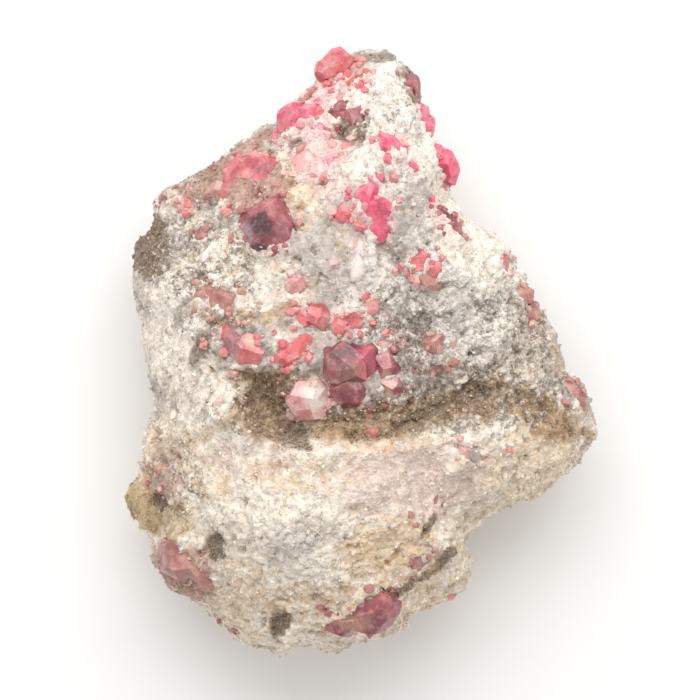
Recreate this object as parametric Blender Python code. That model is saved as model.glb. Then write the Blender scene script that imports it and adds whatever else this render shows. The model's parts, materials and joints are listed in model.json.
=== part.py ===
"""Garnet on matrix: pink to wine red garnets grown on a broken piece of white and grey marble.

The plan below is in millimetres, +X to the right and +Y towards the pointed end, with +Z up.
The rock rests on a flat fracture at z = 0, and its box is centred on the origin in plan.
"""
import math
import random

import bmesh
import bpy
import numpy as np
from mathutils import Euler, Matrix, Vector, noise
from mathutils.bvhtree import BVHTree

# Driving dimensions, in metres
LENGTH = 0.0915
HEIGHT_SCALE = 1.0
GAP = 0.0003

# One millimetre of the plan, when the specimen is LENGTH long
PLAN_LENGTH = 91.5
MM = LENGTH / PLAN_LENGTH

# Fineness of the rock
SPHERE_LEVEL = 7
ROCK_TRIANGLES = 2900

# The middle of the rock, and its widest outline seen from above, clockwise from the point
HEART = (-3.0, -3.0)
OUTLINE = [
    (0, 45.0), (5.4, 44.8), (8.2, 42), (8.9, 38), (9.5, 33), (11.5, 28.5), (12.5, 24),
    (15, 19.5), (20.5, 16), (23, 13), (26, 8), (28.5, 3), (31, -2.5), (34.4, -5.6), (34.4, -10),
    (35.5, -12), (34.5, -15), (32.5, -17.5), (27.5, -21), (23.5, -22.5), (19, -25), (16, -29),
    (17, -31), (16.5, -36), (12.5, -38.5), (6, -41.5), (3.5, -43.2), (-3, -45.2), (-14.5, -44.8),
    (-18.5, -43), (-21, -41), (-24, -38), (-28, -36), (-30.5, -33), (-31, -28), (-34.5, -26),
    (-35.5, -23), (-33.2, -19.5), (-32.4, -15.5), (-30.6, -9.5), (-30.8, -5.5), (-31.6, 1.5),
    (-31.2, 4.5), (-33.2, 10.5), (-33.2, 15), (-30, 19.8), (-27.5, 23.8), (-20.5, 28), (-16.5, 30.5),
    (-10.5, 34.5), (-8, 38), (-5, 40.5), (-2.5, 43),
]

# Height of the widest outline, by direction from the middle in degrees
WAIST = [(0, 15), (35, 16), (75, 14), (100, 13), (140, 13), (180, 12), (222, 11), (270, 12), (320, 15)]

# Heights that the upper surface passes through
RELIEF = {
    "tip": (1.5, 43, 18),
    "tip_slope": (-1.5, 38.5, 23),
    "tip_right": (6, 40, 20),
    "upper_ridge": (6, 33, 28.5),
    "ridge_right": (9.5, 22.5, 32),
    "ridge_low": (17, 13, 31.5),
    "ridge_foot": (26, 0, 26),
    "upper_left_face": (-12.5, 30, 22),
    "left_face": (-24, 21, 22),
    "left_shoulder": (-28, 9, 24.5),
    "great_garnet": (-13, 19, 30),
    "saddle": (-3, 26.5, 29),
    "centre": (0, 15, 32.5),
    "grey_hollow": (12, 4.5, 31),
    "cluster_foot": (-1, -3, 34),
    "left_middle": (-18, 1.5, 30.5),
    "brown_left": (-13, -9, 32),
    "brown_valley": (6, -11, 33),
    "right_middle": (23, -5, 29),
    "wing": (27.5, -13.5, 26.5),
    "wing_edge": (32, -13, 21.5),
    "lobe_crest": (-4.5, -17, 35),
    "lobe_left": (-25.5, -15, 27),
    "lobe": (-12, -27, 33),
    "lobe_right": (9, -22.5, 31),
    "lobe_low": (-4.5, -37.5, 27),
    "lobe_low_right": (10.5, -33, 25),
    "lobe_low_left": (-25.5, -31.5, 23),
    "knob": (-32.5, -22.5, 16),
}

# Heights of the underside, where below zero is broken away flat
UNDERSIDE = {
    "middle": (-4, -6, -2.6),
    "middle_up": (-5, 15, -1.4),
    "middle_down": (-7, -27, -1.6),
    "middle_right": (12, -8, -0.9),
    "middle_left": (-20, -8, -0.8),
    "tip": (2, 38, 7),
    "shoulder": (-24, 18, 3.5),
    "right_slope": (15, 17, 3),
    "wing": (29, -9, 5.5),
    "knob": (-30, -22, 4),
    "lower_end": (-4, -40, 3),
    "notch": (14, -30, 4.5),
}

# Long forms of the upper surface: points of the line, half width, height
LONG_FORMS = {
    "brown_band": ([(-14.8, -5), (-13, -10.4), (-9, -12), (-2.3, -11.2), (5.9, -10), (13.4, -8.6),
                    (20.9, -6.7), (29.9, -10.5)], 3.0, -3.0),
    "lobe_lip": ([(-17, -13.5), (-9, -15.8), (-1.6, -15.6), (10.4, -14), (20.9, -12)], 2.2, 1.0),
    "white_ridge": ([(2.5, 38), (5.9, 33), (9.5, 23), (16.5, 14), (25, 2)], 2.6, 1.2),
    "point_crack": ([(1, 45), (2.5, 42), (7, 39)], 1.2, -1.6),
    "shoulder_step": ([(-31, 13), (-24, 11.5), (-21, 4)], 2.0, -1.3),
    "lobe_seam": ([(-28, -27), (-20, -28.5), (-16, -36), (-11, -42)], 1.8, -1.0),
    "right_seam": ([(9, -17), (11, -25), (15, -29)], 1.6, -0.9),
}

# Round forms of the upper surface: x, y, half length, half width, turn in degrees, height
ROUND_FORMS = {
    "point_hollow": (-1.2, 33.2, 4.6, 3.4, 60, -3.6),
    "point_knuckle": (4, 39.5, 2.6, 2.0, 20, 1.0),
    "garnet_hollow": (-13.8, 20.2, 2.6, 2.2, 0, -1.6),
    "cluster_hollow": (2.8, -4.0, 3.0, 3.0, 0, -3.2),
    "left_pillow": (-27.5, 3.0, 5.0, 6.5, 0, 1.4),
    "brown_hollow": (-12.6, -8.6, 4.6, 3.8, 0, -1.6),
    "knob_crevice": (-30.2, -22.6, 2.6, 3.4, 20, -2.6),
    "knob_top": (-33.2, -23.5, 2.4, 3.0, 0, 1.4),
    "lobe_pillow": (-13.0, -27.0, 8.0, 6.5, 20, 1.2),
    "lobe_dent": (-21.8, -29.4, 1.9, 1.6, 0, -1.4),
    "low_pit": (-12.1, -41.0, 2.6, 1.8, 70, -1.6),
    "low_dent": (3.0, -33.0, 5.5, 3.6, 30, -1.5),
    "wing_hollow": (24.0, -15.6, 4.2, 2.4, 20, -1.2),
    "wing_lump": (20.8, -12.9, 2.2, 1.6, 40, 1.0),
    "right_dent": (20.0, 5.0, 3.6, 2.6, 120, -1.4),
    "right_lump": (22.5, 1.0, 3.0, 2.4, 60, 1.1),
    "grey_dent": (7.0, 2.0, 4.6, 3.0, 10, -1.6),
    "centre_lump": (-5.0, 13.0, 4.2, 3.4, 30, 1.1),
    "shoulder_lump": (-24.0, 15.0, 3.4, 2.6, 60, 1.0),
    "saddle_dent": (3.6, 26.6, 3.0, 2.0, 70, -1.5),
}

# Broken faces that trim the shoulders: direction in plan, elevation, depth of the trim
BREAKS = [
    (18, 38, 1.8), (48, 42, 1.6), (75, 30, 1.0), (118, 36, 1.6), (150, 40, 1.8), (190, 34, 1.6),
    (232, 40, 1.8), (268, 44, 1.6), (300, 34, 1.4), (338, 40, 1.4), (10, -34, 2.4), (62, -36, 2.4),
    (105, -40, 2.0), (140, -30, 2.2), (178, -42, 2.2), (215, -34, 2.0), (258, -38, 2.4), (310, -40, 2.6),
]

# Garnets: tint, then each crystal's x, y and diameter, how far its middle stands proud of the
# rock as a part of its diameter, and at the outline's edge the height of its middle
GARNETS = {
    "garnet_point": ("coral", [(-2.8, 43.1, 3.8, 0, 17.5), (-4.8, 41.7, 2.8, 0, 17.5)]),
    "garnet_point_low": ("coral", [(-1.0, 40.0, 2.8, -0.15), (0.9, 38.7, 2.6, -0.15)]),
    "garnet_point_right": ("wine", [(8.1, 39.6, 3.2, 0, 18)]),
    "garnet_upper_pink": ("hot", [(-9.6, 34.3, 4.6, 0, 19.5), (-7.0, 34.2, 4.0, 0, 20.5),
                                  (-8.6, 31.6, 3.2, 0, 21.5)]),
    "garnet_hollow": ("wine", [(-2.8, 35.4, 3.6, -0.15), (-0.6, 34.2, 3.8, -0.15)]),
    "garnet_light": ("light", [(-7.2, 27.4, 4.6, -0.15), (-4.8, 27.0, 3.6, -0.1)]),
    "garnet_saddle": ("hot", [(4.6, 30.2, 3.2, -0.15), (6.4, 29.6, 2.8, -0.15)]),
    "garnet_red": ("hot", [(1.8, 22.9, 4.4, -0.1), (3.3, 20.4, 3.8, -0.1), (3.2, 17.9, 3.2, -0.15)]),
    "garnet_coral": ("coral", [(-1.9, 20.0, 2.6, -0.05)]),
    "garnet_edge_high": ("hot", [(9.5, 35.1, 3.0, 0, 17), (10.3, 33.2, 3.4, 0, 17.5)]),
    "garnet_edge_rose": ("hot", [(11.5, 29.3, 3.2, 0, 19), (12.9, 27.2, 4.8, 0, 18.5)]),
    "garnet_ridge_side": ("wine", [(12.6, 19.6, 3.4, -0.15), (14.6, 17.6, 3.4, -0.15)]),
    "garnet_ridge_patch": ("rose", [(9.6, 12.8, 4.2, -0.2), (11.6, 11.2, 3.2, -0.15)]),
    "garnet_great": ("wine", [(-13.3, 17.8, 8.6, -0.22), (-11.1, 21.0, 5.0, -0.18)]),
    "garnet_crest": ("rose", [(-17.4, 26.6, 4.6, -0.15), (-14.2, 26.6, 5.4, -0.15),
                              (-18.6, 24.2, 4.4, -0.18)]),
    "garnet_crest_low": ("rose", [(-24.0, 21.9, 3.8, -0.15)]),
    "garnet_far_left": ("wine", [(-27.8, 21.8, 3.2, 0, 15)]),
    "garnet_speck_left": ("mauve", [(-22.8, 17.0, 2.6, -0.12)]),
    "garnet_shoulder": ("mauve", [(-21.9, 8.0, 4.8, -0.2), (-19.9, 7.0, 4.2, -0.18)]),
    "garnet_left": ("rose", [(-18.4, 1.2, 5.2, -0.2), (-15.5, 0.0, 5.2, -0.18)]),
    "garnet_centre_high": ("light", [(-9.1, 9.7, 3.0, -0.1)]),
    "garnet_twelve_sided": ("rose", [(-5.8, 4.8, 3.3, 0.05), (-8.0, 4.4, 2.8, -0.05)]),
    "garnet_middle": ("rose", [(-2.4, 3.3, 2.6, -0.05), (-0.4, 3.9, 3.0, -0.1)]),
    "garnet_salmon": ("coral", [(-7.7, 0.1, 4.2, -0.15), (-10.2, -0.9, 3.4, -0.1)]),
    "garnet_cluster": ("wine", [(-1.9, -2.4, 5.6, -0.05), (1.0, -1.6, 5.0, -0.05), (4.6, -2.4, 4.0, 0.0),
                                (5.2, -5.4, 4.0, -0.05), (-1.2, -6.4, 4.4, -0.05)]),
    "garnet_frosted": ("light", [(-7.0, -7.5, 5.8, 0.0)]),
    "garnet_middle_right": ("rose", [(4.4, 2.4, 2.9, -0.1)]),
    "garnet_grey_side": ("mauve", [(11.8, 0.8, 3.4, -0.12), (12.0, -2.2, 3.2, -0.15)]),
    "garnet_right_high": ("rose", [(21.8, 12.8, 3.4, -0.15)]),
    "garnet_right_edge": ("mauve", [(24.8, 8.0, 3.2, -0.12), (25.8, 5.4, 3.4, -0.12)]),
    "garnet_wing": ("mauve", [(31.8, -6.4, 3.4, 0, 19), (33.0, -8.2, 2.8, 0, 18.5)]),
    "garnet_ring": ("light", [(16.8, -15.4, 3.6, -0.2)]),
    "garnet_knob": ("mauve", [(-29.6, -19.2, 4.6, -0.15)]),
    "garnet_lower_left": ("mauve", [(-26.8, -31.6, 6.0, -0.2), (-23.0, -33.2, 4.8, -0.2)]),
    "garnet_bottom": ("wine", [(2.2, -39.2, 7.6, -0.2), (-1.8, -41.0, 4.8, -0.15)]),
    "garnet_bottom_left": ("wine", [(-18.2, -41.4, 3.0, 0, 15.5)]),
    "garnet_lobe_right": ("mauve", [(8.9, -31.4, 3.2, -0.18)]),
}

# Calcite pieces: x, y, length, width, thickness, turn in degrees, how far the middle stands proud
CALCITE = {
    "calcite_ridge": (8.3, 23.9, 6.2, 4.0, 4.2, 80, -0.34),
    "calcite_window": (1.1, 13.0, 6.8, 3.6, 4.0, 78, -0.34),
    "calcite_spar": (-21.4, 13.9, 5.2, 2.6, 3.4, 55, -0.22),
    "calcite_point": (3.7, 41.4, 3.4, 3.0, 3.2, 30, -0.3),
}

# Colours, roughness, and share of light let through
FINISHES = {
    "marble": ((0.62, 0.57, 0.51), 0.85, 0.0),
    "calcite": ((0.80, 0.76, 0.74), 0.35, 0.25),
    "coral": ((0.86, 0.20, 0.24), 0.30, 0.1),
    "hot": ((0.82, 0.10, 0.22), 0.25, 0.1),
    "rose": ((0.66, 0.20, 0.25), 0.35, 0.1),
    "light": ((0.80, 0.42, 0.46), 0.40, 0.1),
    "mauve": ((0.42, 0.18, 0.23), 0.45, 0.1),
    "wine": ((0.34, 0.06, 0.11), 0.30, 0.1),
}

# A rhombic dodecahedron: corners of a cube, and a point raised over each of its faces
CUBE_HALF = 0.5

# How loosely the smooth sheets follow their heights, and how sharply they turn down at the outline
SLACK = 12.0
TOP_POWER = 3.2
UNDER_POWER = 3.0
OUTERMOST = 0.995

# How much of the stone beyond a broken face is gone
TRIM_SHARE = 0.85

# Size of the broken ledges, swells and crumbs, and how far they stand in or out
LEDGE_SIZE = 8.5
LEDGE_HEIGHT = 2.3
SWELL_SIZE = 15.0
SWELL_HEIGHT = 0.8
CRUMB_SIZE = 4.6
CRUMB_HEIGHT = 0.8
CRUMB_SHIFT = Vector((3.1, 8.7, 1.9))

# A socket is larger than its crystal by a little over the gap
SOCKET_GROWTH = GAP * 1.1


def clear_scene():
    """Remove whatever objects the file starts with."""
    for thing in list(bpy.data.objects):
        bpy.data.objects.remove(thing, do_unlink=True)


def finish(name):
    """The Principled material of one kind of surface."""
    colour, roughness, clear = FINISHES[name]
    material = bpy.data.materials.new(name)
    material.use_nodes = True
    shader = material.node_tree.nodes["Principled BSDF"]
    shader.inputs["Base Color"].default_value = (*colour, 1.0)
    shader.inputs["Roughness"].default_value = roughness
    shader.inputs["Metallic"].default_value = 0.0
    shader.inputs["Transmission Weight"].default_value = clear
    return material


def outline_radius(angles):
    """Distance from the middle to the outline, along each direction in plan."""
    corners = np.array(OUTLINE, dtype=float) - HEART
    steps = np.linspace(0, 1, 12, endpoint=False)[:, None]
    runs = [a + (b - a) * steps for a, b in zip(corners, np.roll(corners, -1, axis=0))]
    points = np.vstack(runs)
    around = np.arctan2(points[:, 1], points[:, 0])
    order = np.argsort(around)
    reach = np.hypot(points[:, 0], points[:, 1])
    return np.interp(angles, around[order], reach[order], period=2 * math.pi)


def waist_height(angles):
    """Height of the widest outline along each direction in plan."""
    table = np.array(WAIST, dtype=float)
    return np.interp(np.degrees(angles) % 360, table[:, 0], table[:, 1], period=360)


def thin_plate(points, values, where):
    """A smooth sheet through the values at the points, read at other places."""
    def bend(a, b):
        gap = np.linalg.norm(a[:, None, :] - b[None, :, :], axis=2) + 1e-9
        return gap * gap * np.log(gap)

    def plane(a):
        return np.column_stack([np.ones(len(a)), a])

    count = len(points)
    system = np.zeros((count + 3, count + 3))
    system[:count, :count] = bend(points, points) + np.eye(count) * SLACK
    system[:count, count:] = plane(points)
    system[count:, :count] = plane(points).T
    weights = np.linalg.solve(system, np.concatenate([values, np.zeros(3)]))
    return bend(where, points) @ weights[:count] + plane(where) @ weights[count:]


def roll_off(share, power):
    """How much of its full height a surface keeps at a share of the way to the outline."""
    return (1 - np.clip(share, 0, OUTERMOST) ** power) ** (1 / power)


def sheet(table, where, power):
    """Full height of the upper or lower surface over the waist, so that it meets its table."""
    rows = np.array(list(table.values()), dtype=float)
    spots = rows[:, :2]
    offsets = spots - HEART
    angles = np.arctan2(offsets[:, 1], offsets[:, 0])
    share = np.hypot(offsets[:, 0], offsets[:, 1]) / outline_radius(angles)
    lift = (rows[:, 2] - waist_height(angles)) / roll_off(share, power)
    return thin_plate(spots, lift, where)


def long_form(where, points, half_width, height):
    """A ridge or a groove that follows a line of points."""
    line = np.array(points, dtype=float)
    nearest = np.full(len(where), np.inf)
    for a, b in zip(line[:-1], line[1:]):
        run = b - a
        along = np.clip(((where - a) @ run) / (run @ run), 0, 1)
        nearest = np.minimum(nearest, np.linalg.norm(where - a - along[:, None] * run, axis=1))
    return height * np.exp(-((nearest / half_width) ** 2))


def round_form(where, x, y, half_length, half_width, turn, height):
    """A bowl or a boss with a flat rim line round it."""
    angle = math.radians(turn)
    dx = where[:, 0] - x
    dy = where[:, 1] - y
    along = (dx * math.cos(angle) + dy * math.sin(angle)) / half_length
    across = (dy * math.cos(angle) - dx * math.sin(angle)) / half_width
    return height * np.exp(-((along ** 2 + across ** 2) ** 1.4))


def smooth_rock(directions):
    """Each direction of a unit ball laid on the rock's large form, in millimetres."""
    angles = np.arctan2(directions[:, 1], directions[:, 0])
    flat = np.hypot(directions[:, 0], directions[:, 1])
    upper = directions[:, 2] >= 0
    power = np.where(upper, TOP_POWER, UNDER_POWER)
    share = flat ** (2 / power)
    keep = np.abs(directions[:, 2]) ** (2 / power)
    reach = outline_radius(angles) * share
    plan = np.column_stack([HEART[0] + reach * np.cos(angles), HEART[1] + reach * np.sin(angles)])
    waist = waist_height(angles)
    lift = np.where(upper, sheet(RELIEF, plan, TOP_POWER), sheet(UNDERSIDE, plan, UNDER_POWER))
    forms = np.zeros(len(plan))
    for points, half_width, height in LONG_FORMS.values():
        forms += long_form(plan, points, half_width, height)
    for values in ROUND_FORMS.values():
        forms += round_form(plan, *values)
    height = waist + (lift + np.where(upper, forms, 0)) * keep
    return np.column_stack([plan, height])


def trim(points):
    """Break flat faces off the shoulders."""
    for turn, elevation, depth in BREAKS:
        a = math.radians(turn)
        e = math.radians(elevation)
        normal = np.array([math.cos(a) * math.cos(e), math.sin(a) * math.cos(e), math.sin(e)])
        along = points @ normal
        excess = np.maximum(along - (along.max() - depth), 0)
        points = points - excess[:, None] * normal * TRIM_SHARE
    return points


def fracture(point):
    """How far the broken surface stands in or out at a point, in millimetres."""
    spot = point / LEDGE_SIZE
    distances, cells = noise.voronoi(spot)
    tilt = noise.cell_vector(cells[0] * 7.3) - Vector((0.5, 0.5, 0.5))
    ledge = (spot - cells[0]).dot(tilt) * LEDGE_HEIGHT
    swell = noise.fractal(point / SWELL_SIZE, 0.8, 2.1, 3) * SWELL_HEIGHT
    crumb = noise.fractal(point / CRUMB_SIZE + CRUMB_SHIFT, 0.7, 2.2, 2) * CRUMB_HEIGHT
    return ledge + swell + crumb


def thin_out(thing, triangles):
    """The object's mesh with about so many triangles."""
    modifier = thing.modifiers.new("thin", "DECIMATE")
    modifier.ratio = triangles / len(thing.data.polygons)
    modifier.use_collapse_triangulate = True
    return evaluated_mesh(thing)


def evaluated_mesh(thing):
    """A new mesh of the object with its modifiers worked in, and the object removed."""
    scene_state = bpy.context.evaluated_depsgraph_get()
    scene_state.update()
    mesh = bpy.data.meshes.new_from_object(thing.evaluated_get(scene_state))
    bpy.data.objects.remove(thing, do_unlink=True)
    return mesh


def add_object(name, mesh, collection=None):
    """Link a mesh to the scene as a named object."""
    thing = bpy.data.objects.new(name, mesh)
    (collection or bpy.context.scene.collection).objects.link(thing)
    return thing


def cut_flat(mesh, height):
    """Take away what is below a height, and close the cut with one flat face."""
    shape = bmesh.new()
    shape.from_mesh(mesh)
    everything = shape.verts[:] + shape.edges[:] + shape.faces[:]
    cut = bmesh.ops.bisect_plane(shape, geom=everything, plane_co=(0, 0, height),
                                 plane_no=(0, 0, -1), clear_outer=True, dist=1e-7)
    rim = [item for item in cut["geom_cut"] if isinstance(item, bmesh.types.BMEdge)]
    bmesh.ops.contextual_create(shape, geom=rim)
    bmesh.ops.triangulate(shape, faces=shape.faces[:])
    bmesh.ops.recalc_face_normals(shape, faces=shape.faces[:])
    shape.to_mesh(mesh)
    shape.free()


def make_rock():
    """The marble's mesh, in metres, before the crystals are set in it."""
    ball = bmesh.new()
    bmesh.ops.create_icosphere(ball, subdivisions=SPHERE_LEVEL, radius=1.0)
    directions = np.array([vertex.co for vertex in ball.verts])
    points = trim(smooth_rock(directions))
    for vertex, point in zip(ball.verts, points):
        vertex.co = point
    ball.normal_update()
    moves = [vertex.normal * fracture(vertex.co) for vertex in ball.verts]
    for vertex, move in zip(ball.verts, moves):
        vertex.co = (vertex.co + move) * MM
        vertex.co.z *= HEIGHT_SCALE
    mesh = bpy.data.meshes.new("matrix")
    ball.to_mesh(mesh)
    ball.free()
    mesh = thin_out(add_object("rough_rock", mesh), ROCK_TRIANGLES)
    cut_flat(mesh, 0.0)
    return mesh


def seat(tree, x, y, thickness, proud, level=None):
    """The middle of a piece at a place in plan, and which way the rock faces there.

    The middle stands proud of the rock by a part of the piece's thickness. A piece at the
    outline's edge has the height of its middle given instead.
    """
    if level is None:
        start = Vector((x * MM, y * MM, 0.1))
        spot, normal, _, _ = tree.ray_cast(start, Vector((0, 0, -1)))
        return spot + normal * thickness * proud * MM, normal
    middle = Vector((x, y, level * HEIGHT_SCALE)) * MM
    return middle, tree.find_nearest(middle)[1]


def garnet(spot, diameter, spin, stretch, grow):
    """One garnet of twelve rhombic faces, as a bmesh, pushed out all round by grow."""
    crystal = bmesh.new()
    bmesh.ops.create_cube(crystal, size=2 * CUBE_HALF)
    bmesh.ops.poke(crystal, faces=crystal.faces[:], offset=CUBE_HALF)
    across = 2 * CUBE_HALF * math.sqrt(2)
    size = (diameter + 2 * grow) / across
    turn = Euler(spin).to_matrix().to_4x4()
    bmesh.ops.transform(crystal, matrix=Matrix.Translation(spot) @ turn @ Matrix.Diagonal((
        size * stretch[0], size * stretch[1], size * stretch[2], 1)), verts=crystal.verts[:])
    return crystal


def calcite(spot, normal, sizes, turn, grow):
    """One smooth calcite piece: a rounded block with broken corners, seated along the surface."""
    block = bmesh.new()
    bmesh.ops.create_cube(block, size=1.0)
    bmesh.ops.bevel(block, geom=block.edges[:], offset=0.2, segments=1, affect="EDGES")
    spread = Matrix.Diagonal((*[side * MM + 2 * grow for side in sizes], 1))
    lean = Vector((0, 0, 1)).rotation_difference(normal).to_matrix().to_4x4()
    spin = Matrix.Rotation(math.radians(turn), 4, "Z")
    bmesh.ops.transform(block, matrix=Matrix.Translation(spot) @ lean @ spin @ spread,
                        verts=block.verts[:])
    bmesh.ops.triangulate(block, faces=block.faces[:])
    return block


def mesh_of(shape):
    """A mesh from a bmesh, which is freed."""
    bmesh.ops.recalc_face_normals(shape, faces=shape.faces[:])
    mesh = bpy.data.meshes.new("shape")
    shape.to_mesh(mesh)
    shape.free()
    return mesh


def grown_together(meshes):
    """One closed mesh out of several that overlap."""
    first = add_object("joined", meshes[0])
    others = []
    for number, mesh in enumerate(meshes[1:]):
        other = add_object(f"joining_{number}", mesh)
        others.append(other)
        join = first.modifiers.new(f"join_{number}", "BOOLEAN")
        join.operation = "UNION"
        join.object = other
    result = evaluated_mesh(first)
    for other in others:
        bpy.data.objects.remove(other, do_unlink=True)
    return result


def cluster(crystals, tree, seed, grow):
    """The mesh of one garnet or of several grown together, seated on the rock."""
    chance = random.Random(seed)
    meshes = []
    for crystal in crystals:
        middle, _ = seat(tree, *crystal)
        diameter = crystal[2] * MM
        spin = [chance.uniform(0, 2 * math.pi) for _ in range(3)]
        stretch = [chance.uniform(0.94, 1.12) for _ in range(3)]
        meshes.append(mesh_of(garnet(middle, diameter, spin, stretch, grow)))
    return grown_together(meshes)


def add_socket(name, mesh, sockets):
    """A hidden cutter that leaves room for one piece in the rock."""
    cutter = add_object(name, mesh, sockets)
    cutter.hide_render = True
    cutter.display_type = "WIRE"


def add_piece(name, mesh, material):
    """A visible piece of the specimen."""
    mesh.materials.clear()
    mesh.materials.append(material)
    return add_object(name, mesh)


def centre_in_plan():
    """Move every mesh so that the box of the visible pieces is centred on the origin."""
    corners = np.array([vertex.co for thing in bpy.data.objects if not thing.hide_render
                        for vertex in thing.data.vertices])
    middle = (corners.min(axis=0) + corners.max(axis=0)) / 2
    shift = Matrix.Translation((-middle[0], -middle[1], 0))
    for thing in bpy.data.objects:
        thing.data.transform(shift)


def build():
    """Make the rock, set every crystal in it and cut the room for them."""
    clear_scene()
    materials = {name: finish(name) for name in FINISHES}
    sockets = bpy.data.collections.new("sockets")
    bpy.context.scene.collection.children.link(sockets)

    rock_mesh = make_rock()
    rock = add_piece("matrix", rock_mesh, materials["marble"])
    tree = BVHTree.FromPolygons([vertex.co for vertex in rock_mesh.vertices],
                                [tuple(face.vertices) for face in rock_mesh.polygons])

    for seed, (name, (tint, crystals)) in enumerate(GARNETS.items()):
        add_piece(name, cluster(crystals, tree, seed, 0.0), materials[tint])
        add_socket(f"socket_{name}", cluster(crystals, tree, seed, SOCKET_GROWTH), sockets)

    for name, (x, y, length, width, thick, turn, proud) in CALCITE.items():
        middle, normal = seat(tree, x, y, thick, proud)
        sizes = (length, width, thick)
        add_piece(name, mesh_of(calcite(middle, normal, sizes, turn, 0.0)), materials["calcite"])
        add_socket(f"socket_{name}", mesh_of(calcite(middle, normal, sizes, turn, SOCKET_GROWTH)), sockets)

    centre_in_plan()
    room = rock.modifiers.new("room_for_crystals", "BOOLEAN")
    room.operation = "DIFFERENCE"
    room.operand_type = "COLLECTION"
    room.collection = sockets


build()
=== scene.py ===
"""Dresses a garnet specimen: sugary marble, pink to wine red garnets, calcite and fine grains.

Places and sizes are in millimetres in the frame of the solids: +X right, +Y towards the pointed
end, +Z up. Meshes are written in metres.
"""

import json
import math
import random

import bmesh
import bpy
import numpy as np
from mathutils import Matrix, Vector, noise
from mathutils.bvhtree import BVHTree


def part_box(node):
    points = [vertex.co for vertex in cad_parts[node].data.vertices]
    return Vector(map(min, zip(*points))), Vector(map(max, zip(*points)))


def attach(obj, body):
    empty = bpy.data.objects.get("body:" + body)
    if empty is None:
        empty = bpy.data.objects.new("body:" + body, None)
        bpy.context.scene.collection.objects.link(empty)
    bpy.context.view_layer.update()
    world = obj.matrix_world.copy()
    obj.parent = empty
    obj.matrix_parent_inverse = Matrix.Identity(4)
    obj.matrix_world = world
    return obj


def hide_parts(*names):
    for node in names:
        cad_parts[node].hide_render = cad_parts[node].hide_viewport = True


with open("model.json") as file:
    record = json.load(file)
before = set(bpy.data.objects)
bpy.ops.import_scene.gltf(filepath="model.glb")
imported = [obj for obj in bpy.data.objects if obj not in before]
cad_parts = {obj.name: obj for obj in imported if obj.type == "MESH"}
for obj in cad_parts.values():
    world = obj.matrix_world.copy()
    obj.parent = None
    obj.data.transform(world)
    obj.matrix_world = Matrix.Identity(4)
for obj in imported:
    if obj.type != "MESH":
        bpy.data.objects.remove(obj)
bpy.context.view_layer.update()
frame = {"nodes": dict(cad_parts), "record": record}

MM = 0.001

# Fineness of the rock's skin and of the calcite, and the height where the skin is parted
SKIN_VOXEL = 0.36
CALCITE_VOXEL = 0.24
WAIST = 12.0

# Sockets reach this far from their crystals, and crust climbs this far round them
SOCKET_REACH = 0.6
CRUST_REACH = 1.6

# Garnets: how many pieces break off each, width of a worn edge and longest edge of a facet's mesh
CHIPS = 7
WORN_EDGE = 0.07
LONGEST_EDGE = 0.7

# Everything drawn by chance comes from these seeds
chance = np.random.default_rng(7)
picks = random.Random(3)

# Colours of the marble, as linear red, green and blue
TONES = {
    "white": (0.92, 0.84, 0.74),
    "cream": (0.86, 0.73, 0.57),
    "beige": (0.62, 0.49, 0.37),
    "grey": (0.56, 0.50, 0.45),
    "dark_grey": (0.30, 0.26, 0.24),
    "brown": (0.46, 0.32, 0.20),
    "dark_brown": (0.12, 0.075, 0.045),
    "rust": (0.72, 0.42, 0.19),
    "ochre": (0.88, 0.62, 0.33),
    "pink_haze": (0.78, 0.62, 0.55),
    "pink_stain": (0.92, 0.64, 0.62),
    "dusty": (0.50, 0.31, 0.25),
    "olive": (0.56, 0.41, 0.22),
    "lichen": (0.25, 0.19, 0.14),
}

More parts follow.
